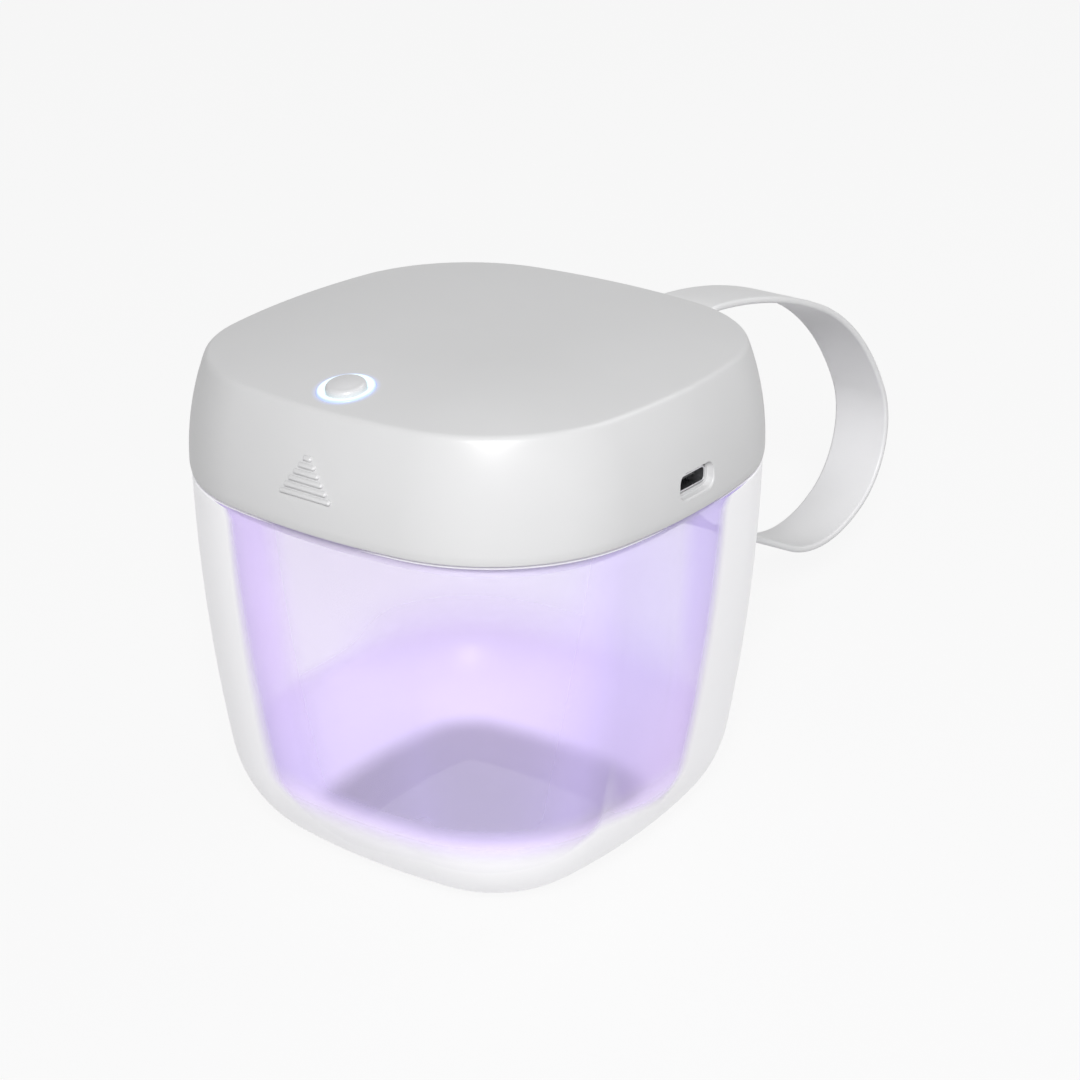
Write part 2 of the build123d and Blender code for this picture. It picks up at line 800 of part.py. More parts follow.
makers = {
    "bin_shell": bin_shell, "hinge_bracket": hinge_bracket, "hinge_pin": hinge_pin,
    "interlock_magnet": magnet, "strap": strap, "lid_shell": lid_shell, "inner_cover": inner_cover,
    "lid_gasket": lid_gasket, "lid_screws": lid_screws, "uv_window": uv_window,
    "uv_reflector": uv_reflector, "uv_board": uv_board, "uv_leds": uv_leds,
    "uv_board_screws": lamp_board_screws, "main_board": main_board, "board_chips": board_chips,
    "board_connectors": board_connectors, "main_board_screws": main_board_screws,
    "usb_socket": usb_socket, "usb_tongue": usb_tongue, "battery": battery, "hall_sensor": hall_sensor,
    "light_ring": light_ring, "button_cap": button_cap, "switch_plunger": switch_plunger,
    "tact_switch": tact_switch, "button_board": button_board,
    "button_board_screws": button_board_screws, "ring_leds": ring_leds,
    "battery_lead": battery_lead, "uv_lead": uv_lead, "button_lead": button_lead,
}

for name, make in makers.items():
    export_step(make(), f"parts/{name}.step")
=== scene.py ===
import math

import bmesh
import bpy
from mathutils import Matrix, Vector


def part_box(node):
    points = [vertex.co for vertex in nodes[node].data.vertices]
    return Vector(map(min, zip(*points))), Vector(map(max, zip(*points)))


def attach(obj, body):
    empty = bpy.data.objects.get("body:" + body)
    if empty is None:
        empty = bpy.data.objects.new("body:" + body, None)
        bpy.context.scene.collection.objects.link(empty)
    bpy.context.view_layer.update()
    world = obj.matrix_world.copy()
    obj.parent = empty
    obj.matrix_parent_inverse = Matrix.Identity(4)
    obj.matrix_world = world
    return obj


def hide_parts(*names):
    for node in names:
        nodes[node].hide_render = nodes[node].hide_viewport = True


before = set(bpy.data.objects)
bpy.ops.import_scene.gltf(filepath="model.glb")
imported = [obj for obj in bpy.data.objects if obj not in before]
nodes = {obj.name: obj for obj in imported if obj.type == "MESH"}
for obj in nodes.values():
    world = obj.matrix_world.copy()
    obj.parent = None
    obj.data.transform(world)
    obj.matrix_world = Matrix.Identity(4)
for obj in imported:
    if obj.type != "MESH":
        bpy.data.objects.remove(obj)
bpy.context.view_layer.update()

mm = 0.001
weld = 1e-7  # metres; points nearer than this become one
scene = bpy.context.scene
scene.view_settings.view_transform = "Standard"


def boxOf(name):
    low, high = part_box(name)
    return Vector(low) / mm, Vector(high) / mm


def blendBetween(first, last, steps):
    return [first + (last - first) * step / steps for step in range(steps + 1)]


def addObject(name, mesh):
    piece = bpy.data.objects.new(name, mesh)
    scene.collection.objects.link(piece)
    return piece


def meshFrom(name, points, faces=(), edges=()):
    mesh = bpy.data.meshes.new(name)
    mesh.from_pydata([tuple(value * mm for value in point) for point in points], edges, faces)
    return mesh


def faceOutwards(mesh):
    work = bmesh.new()
    work.from_mesh(mesh)
    bmesh.ops.recalc_face_normals(work, faces=work.faces)
    work.to_mesh(mesh)
    work.free()


def smoothByAngle(mesh, degrees=35):
    # edges sharper than this angle stay sharp
    work = bmesh.new()
    work.from_mesh(mesh)
    bmesh.ops.remove_doubles(work, verts=work.verts, dist=weld)
    for edge in work.edges:
        edge.smooth = len(edge.link_faces) == 2 and edge.calc_face_angle() < math.radians(degrees)
    for face in work.faces:
        face.smooth = True
    work.to_mesh(mesh)
    work.free()


def bake(piece):
    # the evaluated result becomes the piece's own mesh, and its modifiers go
    ready = piece.evaluated_get(bpy.context.evaluated_depsgraph_get())
    mesh = bpy.data.meshes.new_from_object(ready)
    piece.modifiers.clear()
    piece.data = mesh
    return piece


def combine(piece, other, operation):
    # one closed mesh out of two, by union or difference
    modifier = piece.modifiers.new("combine", "BOOLEAN")
    modifier.operation = operation
    modifier.solver = "MANIFOLD"
    modifier.object = other
    bake(piece)
    bpy.data.objects.remove(other)
    return piece


def roundedPath(points, steps=5):
    # points are (across, up) or (across, up, radius); a radius rounds that corner
    path = []
    for index, point in enumerate(points):
        here = Vector(point[:2])
        if len(point) == 2:
            path.append(here)
            continue
        before = (Vector(points[index - 1][:2]) - here).normalized()
        after = (Vector(points[(index + 1) % len(points)][:2]) - here).normalized()
        half = before.angle(after) / 2
        reach = point[2] / math.tan(half)
        middle = here + (before + after).normalized() * point[2] / math.sin(half)
        start = here + before * reach - middle
        turn = math.pi - 2 * half
        sign = 1 if before.cross(after) < 0 else -1
        for step in range(steps + 1):
            angle = sign * turn * step / steps
            spun = Vector((start.x * math.cos(angle) - start.y * math.sin(angle),
                           start.x * math.sin(angle) + start.y * math.cos(angle)))
            path.append(middle + spun)
    return path


def lathe(name, outline, segments, place=Matrix(), closed=False):
    # outline is (radius, height) from axis to axis, or a closed loop clear of the axis
    points, faces = [], []
    for turn in range(segments):
        angle = 2 * math.pi * turn / segments
        for radius, height in outline:
            points.append(place @ Vector((radius * math.cos(angle), radius * math.sin(angle), height)))
    count = len(outline)
    for turn in range(segments):
        following = (turn + 1) % segments
        for level in range(count if closed else count - 1):
            upper = (level + 1) % count
            faces.append((turn * count + level, following * count + level,
                          following * count + upper, turn * count + upper))
    mesh = meshFrom(name, points, faces)
    work = bmesh.new()
    work.from_mesh(mesh)
    bmesh.ops.remove_doubles(work, verts=work.verts, dist=weld)
    bmesh.ops.dissolve_degenerate(work, dist=weld / 10, edges=work.edges)
    bmesh.ops.recalc_face_normals(work, faces=work.faces)
    work.to_mesh(mesh)
    work.free()
    return addObject(name, mesh)


class Pin:
    # one output socket; arithmetic on it adds Math nodes
    def __init__(self, graph, socket):
        self.graph = graph
        self.socket = socket

    def __add__(self, other):
        return self.graph.math("ADD", self, other)

    def __sub__(self, other):
        return self.graph.math("SUBTRACT", self, other)

    def __mul__(self, other):
        return self.graph.math("MULTIPLY", self, other)

    def __truediv__(self, other):
        return self.graph.math("DIVIDE", self, other)

    def __gt__(self, other):
        return self.graph.math("GREATER_THAN", self, other)

    def __rsub__(self, other):
        return self.graph.math("SUBTRACT", other, self)

    __radd__ = __add__
    __rmul__ = __mul__

    def least(self, other):
        return self.graph.math("MINIMUM", self, other)

    def most(self, other):
        return self.graph.math("MAXIMUM", self, other)

    def size(self):
        return self.graph.math("ABSOLUTE", self)

    def ramp(self, low, high, start=0.0, end=1.0):
        # smooth step from low to high
        values = {"Value": self, "From Min": low, "From Max": high, "To Min": start, "To Max": end}
        return self.graph.add("ShaderNodeMapRange", {"interpolation_type": "SMOOTHSTEP"}, values)


class Graph:
    def __init__(self, tree):
        self.tree = tree

    def add(self, kind, settings=None, values=None, output=0):
        node = self.tree.nodes.new(kind)
        for name, value in (settings or {}).items():
            if name == "stops":
                self.setStops(node.color_ramp, value)
            else:
                setattr(node, name, value)
        for name, value in (values or {}).items():
            self.feed(node.inputs[name], value)
        return Pin(self, node.outputs[output])

    def setStops(self, ramp, stops):
        while len(ramp.elements) < len(stops):
            ramp.elements.new(1.0)
        for element, (place, colour) in zip(ramp.elements, stops):
            element.position = place
            element.color = colour

    def feed(self, socket, value):
        if isinstance(value, Pin):
            self.tree.links.new(value.socket, socket)
        else:
            socket.default_value = value

    def math(self, operation, *values):
        return self.add("ShaderNodeMath", {"operation": operation}, dict(enumerate(values)))

    def split(self, vector):
        node = self.tree.nodes.new("ShaderNodeSeparateXYZ")
        self.feed(node.inputs[0], vector)
        return [Pin(self, socket) for socket in node.outputs]

    def join(self, x, y, z):
        return self.add("ShaderNodeCombineXYZ", None, {"X": x, "Y": y, "Z": z})

    def mixColour(self, factor, first, second):
        node = self.tree.nodes.new("ShaderNodeMix")
        node.data_type = "RGBA"
        self.feed(node.inputs["Factor"], factor)
        colours = [socket for socket in node.inputs if socket.type == "RGBA"]
        self.feed(colours[0], first)
        self.feed(colours[1], second)
        return Pin(self, [socket for socket in node.outputs if socket.type == "RGBA"][0])


class ShapeTree(Graph):
    # a Geometry Nodes tree with named inputs
    kinds = {float: "NodeSocketFloat", int: "NodeSocketInt", "material": "NodeSocketMaterial"}

    def __init__(self, name, inputs):
        super().__init__(bpy.data.node_groups.new(name, "GeometryNodeTree"))
        self.tree.interface.new_socket("Geometry", in_out="INPUT", socket_type="NodeSocketGeometry")
        self.tree.interface.new_socket("Geometry", in_out="OUTPUT", socket_type="NodeSocketGeometry")
        for label, kind in inputs.items():
            self.tree.interface.new_socket(label, in_out="INPUT", socket_type=self.kinds[kind])
        self.source = self.tree.nodes.new("NodeGroupInput")
        self.sink = self.tree.nodes.new("NodeGroupOutput")

    def value(self, label):
        return Pin(self, self.source.outputs[label])

    def finish(self, geometry, material):
        real = self.add("GeometryNodeRealizeInstances", None, {"Geometry": geometry})
        done = self.add("GeometryNodeSetMaterial", None, {"Geometry": real, "Material": material})
        self.feed(self.sink.inputs["Geometry"], done)

    def make(self, name, start, values):
        # start is the mesh that the tree works on; the result is a plain mesh
        piece = addObject(name, start)
        modifier = piece.modifiers.new(name, "NODES")
        modifier.node_group = self.tree
        for item in self.tree.interface.items_tree:
            if item.in_out == "INPUT" and item.name in values:
                modifier[item.identifier] = values[item.name]
        return bake(piece)


# the case's rounded-square plan, which every level of bin and lid shares
lidLow, lidHigh = boxOf("lid_shell")
plan = {
    "half": (lidHigh.x - lidLow.x) / 2,
    "sideBulge": 111.0,
    "corner": 28.8,
    "flatHalf": 14.0,      # inside this the outline only shrinks towards the middle
    "sideShare": 0.42,     # share of the segments that lie on the straighter sides
    "segments": 320,
}


def planCentres():
    side = plan["half"] - plan["sideBulge"]
    spread = plan["sideBulge"] - plan["corner"]
    corner = (side + math.sqrt(2 * spread**2 - side**2)) / 2
    return side, corner * math.sqrt(2), math.atan2(corner, corner - side)


def loftTree():
    # sweeps a profile of (half width, 0, height) points round the rounded square
    tree = ShapeTree("roundedSquareLoft", {
        "Half": float, "Side Radius": float, "Corner Radius": float, "Flat Half": float,
        "Side Centre": float, "Corner Centre": float, "Side Span": float, "Side Share": float,
        "Segments": int, "Inner Levels": int, "Material": "material", "Inner Material": "material"})
    profile = tree.value("Geometry")
    levels = tree.add("GeometryNodeAttributeDomainSize", None, {"Geometry": profile})
    grid = tree.add("GeometryNodeMeshGrid", None, {
        "Size X": 1.0, "Size Y": 1.0, "Vertices X": tree.value("Segments") + 1, "Vertices Y": levels})
    across, along, _ = tree.split(tree.add("GeometryNodeInputPosition"))
    quarter = (across + 0.5) * 4.0
    side = tree.math("ROUND", quarter)
    offset = quarter - side
    away = offset.size() * 2.0
    sign = tree.math("SIGN", offset)
    share, span = tree.value("Side Share"), tree.value("Side Span")
    onSide = tree.add("ShaderNodeMapRange", None, {
        "Value": away, "From Min": 0.0, "From Max": share, "To Min": 0.0, "To Max": span})
    onCorner = tree.add("ShaderNodeMapRange", None, {
        "Value": away, "From Min": share, "From Max": 1.0, "To Min": 0.0, "To Max": math.pi / 4 - span})
    turn = side * (math.pi / 2)
    facing = turn + sign * (onSide + onCorner)
    isCorner = away > share
    centreTurn = turn + isCorner * sign * (math.pi / 4)
    sideCentre, cornerCentre = tree.value("Side Centre"), tree.value("Corner Centre")
    distance = sideCentre + isCorner * (cornerCentre - sideCentre)
    sideRadius, cornerRadius = tree.value("Side Radius"), tree.value("Corner Radius")
    radius = sideRadius + isCorner * (cornerRadius - sideRadius)
    rank = tree.math("ROUND", (along + 0.5) * (levels - 1.0))
    sample = tree.add("GeometryNodeSampleIndex", {"data_type": "FLOAT_VECTOR"}, {
        "Geometry": profile, "Value": tree.add("GeometryNodeInputPosition"), "Index": rank})
    half, _, height = tree.split(sample)
    flat = tree.value("Flat Half")
    reach = radius - tree.value("Half") + half.most(flat)
    shrink = (half / flat).least(1.0)
    x = distance * tree.math("COSINE", centreTurn) + reach * tree.math("COSINE", facing)
    y = distance * tree.math("SINE", centreTurn) + reach * tree.math("SINE", facing)
    # the ranks are read from the flat grid, so the faces get their material before they move
    painted = tree.add("GeometryNodeSetMaterial", None, {
        "Geometry": grid, "Material": tree.value("Material")})
    painted = tree.add("GeometryNodeSetMaterial", None, {
        "Geometry": painted, "Selection": tree.value("Inner Levels") > rank + 0.5,
        "Material": tree.value("Inner Material")})
    moved = tree.add("GeometryNodeSetPosition", None, {
        "Geometry": painted, "Position": tree.join(x * shrink, y * shrink, height)})
    closed = tree.add("GeometryNodeMergeByDistance", None, {"Geometry": moved, "Distance": weld * 10})
    tree.feed(tree.sink.inputs["Geometry"], closed)
    return tree


loft = loftTree()


def roundedSquare(name, profile, material, innerMaterial=None, innerLevels=0):
    side, corner, span = planCentres()
    line = meshFrom(name, [(half, 0, height) for half, height in profile])
    piece = loft.make(name, line, {
        "Half": plan["half"] * mm, "Side Radius": plan["sideBulge"] * mm,
        "Corner Radius": plan["corner"] * mm, "Flat Half": plan["flatHalf"] * mm,
        "Side Centre": side * mm, "Corner Centre": corner * mm, "Side Span": span,
        "Side Share": plan["sideShare"], "Segments": plan["segments"], "Inner Levels": innerLevels,
        "Material": material, "Inner Material": innerMaterial or material})
    faceOutwards(piece.data)
    return piece


class Finish(Graph):
    # one material with a Principled shader, on the object's own coordinates
    def __init__(self, name, colour, roughness, **constants):
        self.material = bpy.data.materials.new(name)
        self.material.use_nodes = True
        super().__init__(self.material.node_tree)
        self.shader = self.tree.nodes["Principled BSDF"]
        self.coordinates = self.add("ShaderNodeTexCoord", None, None, "Object")
        self.shader.inputs["Base Color"].default_value = (*colour, 1.0)
        self.shader.inputs["Roughness"].default_value = roughness
        for label, value in constants.items():
            self.shader.inputs[label].default_value = value
        self.colour = colour
        self.roughness = roughness

    def set(self, label, value):
        self.feed(self.shader.inputs[label], value)

    def distance(self, place):
        values = {0: self.coordinates, 1: place}
        return self.add("ShaderNodeVectorMath", {"operation": "DISTANCE"}, values, "Value")

    def noise(self, scale, detail=2.0):
        return self.add("ShaderNodeTexNoise", None, {
            "Vector": self.coordinates, "Scale": scale, "Detail": detail})

    def mottle(self, scale, amount):
        # faint uneven tone, and roughness that follows it
        cloud = self.noise(scale)
        darker = (*[channel * (1 - amount) for channel in self.colour], 1.0)
        lighter = (*[min(1.0, channel * (1 + amount)) for channel in self.colour], 1.0)
        self.set("Base Color", self.mixColour(cloud.ramp(0.3, 0.7), darker, lighter))
        self.set("Roughness", cloud.ramp(0.25, 0.75, self.roughness * 0.93, self.roughness * 1.07))
        return self

    def grain(self, scale, strength, depth=0.02):
        # fine moulded texture, as a bump
        texture = self.noise(scale, 3.0)
        self.set("Normal", self.add("ShaderNodeBump", None, {
            "Strength": strength, "Distance": depth * mm, "Height": texture}))
        return self

    def glow(self, colour):
        # light that the surface gives off, written as its colour at a strength of 1
        self.set("Emission Color", colour)
        self.shader.inputs["Emission Strength"].default_value = 1.0


def mouldedPlastic(name, colour, roughness, grain=0.15):
    finish = Finish(name, colour, roughness)
    return finish.mottle(60.0, 0.015).grain(2600.0, grain).material


def metal(name, colour, roughness):
    finish = Finish(name, colour, roughness, Metallic=1.0)
    return finish.mottle(400.0, 0.06).grain(900.0, 0.2).material


def lidGrey():
    # satin grey moulding, with a faint blue light from the ring painted on round it as emission
    finish = Finish("satinLidGrey", (0.60, 0.60, 0.605), 0.34, **{"Specular IOR Level": 0.45})
    finish.mottle(45.0, 0.012).grain(3000.0, 0.12)
    reach = finish.distance(tuple(buttonPlace * mm))
    # painted light: a blue glow, strongest at the ring's edge and fading out over the halo's reach
    halo = reach.ramp(ring["outer"] * 0.98 * mm, (ring["outer"] + ring["halo"]) * mm, 1.0, 0.0)
    finish.glow(finish.mixColour(halo, (0, 0, 0, 1), ring["haloColour"]))
    return finish.material


def edgeOn(finish):
    # how far the wall is seen through its length; the thicker corners count for more
    facing = finish.add("ShaderNodeLayerWeight", None, {"Blend": 0.5}, "Facing")
    across, along, _ = finish.split(finish.coordinates)
    corner = across.size() * along.size() / (plan["half"] * mm)**2
    return facing + corner * milky["cornerShare"]


def milkyOuter():
    # clear enough to look through face on, and milky where the wall is seen through its length
    finish = Finish("milkyPolypropylene", (0.78, 0.78, 0.785), 0.30, **{"Specular IOR Level": 0.45})
    finish.mottle(35.0, 0.01).grain(1800.0, 0.05)
    height = finish.split(finish.coordinates)[2]
    foot = height.ramp(
        milky["footLow"] * mm, milky["footHigh"] * mm, milky["footAlpha"], milky["clearAlpha"])
    edge = edgeOn(finish).ramp(milky["edgeStart"], milky["edgeEnd"])
    finish.set("Alpha", foot.most(edge))
    # painted glow: the milky wall gives off a faint even light of its own, though it is no lamp
    finish.glow(milky["glow"])
    return finish.material


def lilacInner():
    # inner face of the bin, with the lamp's violet light painted in as its lilac colour and glow, and
    # painted shade making it darker over the flat floor
    finish = Finish("lampLitInnerFace", lilac["wall"][:3], 0.35)
    _, along, height = finish.split(finish.coordinates)
    cloud = finish.noise(14.0, 1.0)
    # painted shade: the flat floor gets a darker colour and almost no glow
    paintedFloorShade = height.ramp(milky["floorLow"] * mm, milky["floorHigh"] * mm, 1.0, 0.0)
    # paler towards the foot, where the plastic is milkier; the stronger glow there is painted light
    frontFoot = height.ramp(milky["bendLow"] * mm, milky["bendHigh"] * mm, 1.0, 0.0)
    rearFoot = height.ramp(milky["rearLow"] * mm, milky["rearHigh"] * mm, 1.0, 0.0)
    inFoot = frontFoot + (rearFoot - frontFoot) * along.ramp(0, milky["rearDepth"] * mm)
    wall = finish.mixColour(cloud.ramp(0.35, 0.65), lilac["wall"], lilac["wallCloud"])
    bend = finish.mixColour(inFoot, wall, lilac["bend"])
    finish.set("Base Color", finish.mixColour(paintedFloorShade, bend, lilac["floor"]))
    tint = edgeOn(finish).ramp(milky["tintStart"], milky["tintEnd"], 0.0, milky["tintAlpha"])
    veil = inFoot * (milky["floorAlpha"] - milky["innerAlpha"])
    finish.set("Alpha", veil.most(tint) + milky["innerAlpha"])
    # painted lamp light: the inner face glows lilac, more at the foot and hardly at all over the floor
    glow = finish.mixColour(inFoot, lilac["wallGlow"], lilac["bendGlow"])
    finish.glow(finish.mixColour(paintedFloorShade, glow, lilac["floorGlow"]))
    return finish.material


def glowingRing():
    finish = Finish("litRing", (0.30, 0.36, 0.42), 0.3)
    reach = finish.distance(tuple(buttonPlace * mm))
    fringe = reach.ramp(ring["brightTo"] * mm, ring["outer"] * mm)
    finish.glow(finish.mixColour(fringe, ring["glow"], ring["fringe"]))
    return finish.material


milky = {  # heights in mm; edge and tint are shares of how far the wall is seen edge on
    "clearAlpha": 0.10, "footAlpha": 0.95, "footLow": 13.0, "footHigh": 18.5,
    "edgeStart": 0.625, "edgeEnd": 0.73, "cornerShare": 0.55, "glow": (0.155, 0.152, 0.162, 1.0),
    "innerAlpha": 0.20, "floorAlpha": 0.85, "floorLow": 2.9, "floorHigh": 4.9,
    "bendLow": 14.5, "bendHigh": 20.5, "rearLow": 11.0, "rearHigh": 28.0, "rearDepth": 20.0,
    "tintStart": 0.42, "tintEnd": 0.60, "tintAlpha": 0.32,
}
# inner face colours: the lamp's violet light painted in as colour and glow, painted shade over the floor,
# and a paler foot
lilac = {
    "wall": (0.64, 0.44, 0.86, 1.0), "wallCloud": (0.52, 0.42, 0.88, 1.0),
    "wallGlow": (0.16, 0.14, 0.27, 1.0),
    "bend": (0.68, 0.58, 0.82, 1.0), "bendGlow": (0.27, 0.25, 0.30, 1.0),
    "floor": (0.30, 0.27, 0.33, 1.0), "floorGlow": (0.03, 0.027, 0.03, 1.0),
}
binSize = {
    "rimHeight": 65.8, "rimHalf": 41.7, "wall": 2.4, "baseRadius": 22.0, "rimLean": 0.8, "footLean": 9.5,
    "lipThickness": 1.0, "lipHeight": 1.6, "partingGap": 0.4, "edge": 0.25, "steps": 28, "sharpFrom": 40,
}


def binArc():
    # radius and centre of the tall arc of the wall's profile
    foot, rim = math.radians(binSize["footLean"]), math.radians(binSize["rimLean"])
    bend = binSize["baseRadius"] * (1 - math.sin(foot))
    radius = (binSize["rimHeight"] - bend) / (math.sin(foot) - math.sin(rim))
    return radius, binSize["rimHalf"] - radius * math.cos(rim), binSize["rimHeight"] + radius * math.sin(rim)


def binWall(inset):
    # wall profile from the flat floor up to the rim
    foot, rim = math.radians(binSize["footLean"]), math.radians(binSize["rimLean"])
    radius, centre, height = binArc()
    base = binSize["baseRadius"]
    baseCentre = centre + (radius - base) * math.cos(foot)
    path = []
    for lean in blendBetween(math.pi / 2, foot, binSize["steps"])[:-1]:
        path.append((baseCentre + (base - inset) * math.cos(lean), base - (base - inset) * math.sin(lean)))
    for lean in blendBetween(foot, rim, binSize["steps"]):
        path.append((centre + (radius - inset) * math.cos(lean), height - (radius - inset) * math.sin(lean)))
    return path


def flatCentre(height, half):
    # levels from the middle out to the start of the wall, at one height
    return [(share * half, height) for share in (0.0, 0.25, 0.5, 0.75)] + [(plan["flatHalf"], height)]


mouthHalf = binWall(binSize["wall"])[-1][0]
lipHalf = mouthHalf + binSize["lipThickness"]
lipTop = binSize["rimHeight"] + binSize["lipHeight"]


def makeBin():
    inner, outer = binWall(binSize["wall"]), binWall(0)
    edge = binSize["edge"]
    rim = roundedPath([
        (mouthHalf, binSize["rimHeight"]), (mouthHalf, lipTop, edge), (lipHalf, lipTop, edge),
        (lipHalf, binSize["rimHeight"], edge), (*outer[-1], edge), outer[-2]])
    profile = flatCentre(binSize["wall"], plan["flatHalf"]) + inner[:-1] + rim
    innerLevels = len(flatCentre(0, 1)) + len(inner)
    profile += list(reversed(outer[:-2])) + list(reversed(flatCentre(0, plan["flatHalf"])))
    piece = roundedSquare("milkyBin", profile, milkyOuter(), lilacInner(), innerLevels)
    smoothByAngle(piece.data, binSize["sharpFrom"])
    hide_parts("bin_shell")
    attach(piece, "bin")
    return piece


lidSize = {
    "edge": binSize["rimHeight"] + binSize["partingGap"], "bellyRise": 1.8, "edgeBulge": 5.5, "edgeSteps": 6,
    "sideBulge": 45.9, "sideHeight": 18.9, "creaseRound": 1.4, "creaseClear": 0.55, "domeRise": 2.9,
    "wall": 1.8, "roof": 2.0, "lipGap": 0.4, "steps": 26, "bottomRound": 0.3, "skirtRise": 0.2,
}
belly = lidSize["edge"] + lidSize["bellyRise"]
crease = lidSize["edge"] + lidSize["sideHeight"]


def lidHalf(height, inset=0.0):
    reach = lidSize["sideBulge"] - inset
    return plan["half"] - lidSize["sideBulge"] + math.sqrt(reach**2 - (height - belly)**2)


def crownAt(half, edge, base):
    # height of the domed top at one half width
    share = max(0.0, (half - plan["flatHalf"]) / (edge - plan["flatHalf"]))
    return base + lidSize["domeRise"] * (1 - share**2)


def lidLevels(inset, base, start):
    # side from a level above the belly up to the crown's flat middle
    steps = lidSize["steps"]
    edge = lidHalf(base, inset)
    side = [(lidHalf(height, inset), height) for height in blendBetween(start, base, steps)]
    top = [(half, crownAt(half, edge, base)) for half in blendBetween(edge, plan["flatHalf"], steps)]
    return side, top


def roundCrease(side, top, radius):
    # an arc takes the place of the points nearest to the corner of side and top
    corner = side[-1]
    reach = radius * lidSize["creaseClear"]
    keptSide = [point for point in side if math.dist(point, corner) > reach]
    keptTop = [point for point in top if math.dist(point, corner) > reach]
    arc = roundedPath([keptSide[-1], (*corner, radius), keptTop[0]], 8)[1:-1]
    return keptSide + arc + keptTop


def makeLidShell():
    low, edgeBulge = lidSize["edge"], lidSize["edgeBulge"]
    outer = []
    for height in blendBetween(low, belly, lidSize["edgeSteps"])[:-1]:
        outer.append((plan["half"] - edgeBulge + math.sqrt(edgeBulge**2 - (belly - height)**2), height))
    side, top = lidLevels(0.0, crease, belly)
    outer += roundCrease(side, top, lidSize["creaseRound"])
    skirt, skirtTop = lipHalf + lidSize["lipGap"], belly + lidSize["skirtRise"]
    innerSide, innerTop = lidLevels(lidSize["wall"], crease - lidSize["roof"], skirtTop)
    bottom = roundedPath([(skirt, skirtTop), (skirt, low, lidSize["bottomRound"]),
                          (*outer[0], lidSize["bottomRound"]), outer[1]])
    crown = flatCentre(crease + lidSize["domeRise"], plan["flatHalf"])
    inner = flatCentre(crease - lidSize["roof"] + lidSize["domeRise"], plan["flatHalf"])
    profile = inner + list(reversed(innerTop)) + list(reversed(innerSide)) + bottom
    profile += outer[2:] + list(reversed(crown))
    return roundedSquare("lidShell", profile, lidMaterial)


# halo and haloColour set the blue glow painted on the lid round the ring; glow and fringe are the ring's own
# light
ring = {
    "inner": 3.4, "outer": 4.5, "flange": 1.0, "seat": 1.4, "step": 1.5, "chamber": 4.1, "depth": 5.2,
    "proud": 0.15, "round": 0.2, "flangeRound": 0.15, "gap": 0.06, "depthGap": 0.3, "cutAbove": 3,
    "halo": 0.9, "haloColour": (0.02, 0.05, 0.24, 1.0), "brightTo": 4.1, "segments": 128,
    "glow": (0.66, 0.80, 0.82, 1.0), "fringe": (0.30, 0.38, 0.66, 1.0),
}
buttonReach = 31.9
creaseHalf = lidHalf(crease)
buttonSlope = 2 * lidSize["domeRise"] * (buttonReach - plan["flatHalf"]) / (creaseHalf - plan["flatHalf"])**2
buttonPlace = Vector((0, -buttonReach, crownAt(buttonReach, creaseHalf, crease)))
buttonFrame = Matrix.Translation(buttonPlace) @ Matrix.Rotation(math.atan(buttonSlope), 4, "X")
lidMaterial = lidGrey()


socket = {"width": 7.4, "height": 2.6, "recessWidth": 9.1, "recessHeight": 4.2, "recessRound": 1.6,
          "clearance": 0.25, "bevel": 0.3, "bevelSteps": 6, "skin": 0.02, "overlap": 0.3, "cutBeyond": 2.0}
socketLow, socketHigh = boxOf("usb_socket")
socketAxis = (socketLow.z + socketHigh.z) / 2
socketMouth = socketHigh.x


def roundedPrism(name, width, height, radius, start, end, flare=0.0, steps=10):
    # rounded rectangle across Y and up Z, from one X to another; a flare widens its end in a quarter round
    def ringAt(x, grow):
        corners = [(-width / 2 - grow, -height / 2 - grow), (width / 2 + grow, -height / 2 - grow),
                   (width / 2 + grow, height / 2 + grow), (-width / 2 - grow, height / 2 + grow)]
        return [(x, point.x, point.y + socketAxis)
                for point in roundedPath([(*corner, radius + grow) for corner in corners], steps)]
    rings = [ringAt(start, 0.0), ringAt(end - flare, 0.0)]
    if flare:
        for angle in blendBetween(0.0, math.pi / 2, socket["bevelSteps"])[1:]:
            rings.append(ringAt(end - flare + flare * math.sin(angle), flare * (1 - math.cos(angle))))
        rings.append(ringAt(end + socket["cutBeyond"], flare))
    points = [point for level in rings for point in level]
    count = len(rings[0])
    faces = [tuple(range(count)), tuple(range(len(points) - count, len(points)))]
    for level in range(len(rings) - 1):
        for index in range(count):
            following = (index + 1) % count
            base = level * count
            faces.append((base + index, base + following, base + count + following, base + count + index))
    mesh = meshFrom(name, points, faces)
    faceOutwards(mesh)
    return addObject(name, mesh)


def makeSocketCuts(shell):
    gap = 2 * socket["clearance"]
    surface = lidHalf(socketAxis)
    recess = roundedPrism("recess", socket["recessWidth"], socket["recessHeight"], socket["recessRound"],
                          socketMouth, surface - socket["skin"], socket["bevel"])
    combine(shell, recess, "DIFFERENCE")
    slot = roundedPrism("slot", socket["width"] + gap, socket["height"] + gap, socket["recessRound"] / 2,
                        socketMouth - 3 * lidSize["wall"], socketMouth + socket["overlap"])
    combine(shell, slot, "DIFFERENCE")


grip = {"count": 6, "baseWidth": 9.9, "tipWidth": 1.7, "pitch": 1.14, "height": 0.80, "proud": 0.50,
        "rise": 6.2}


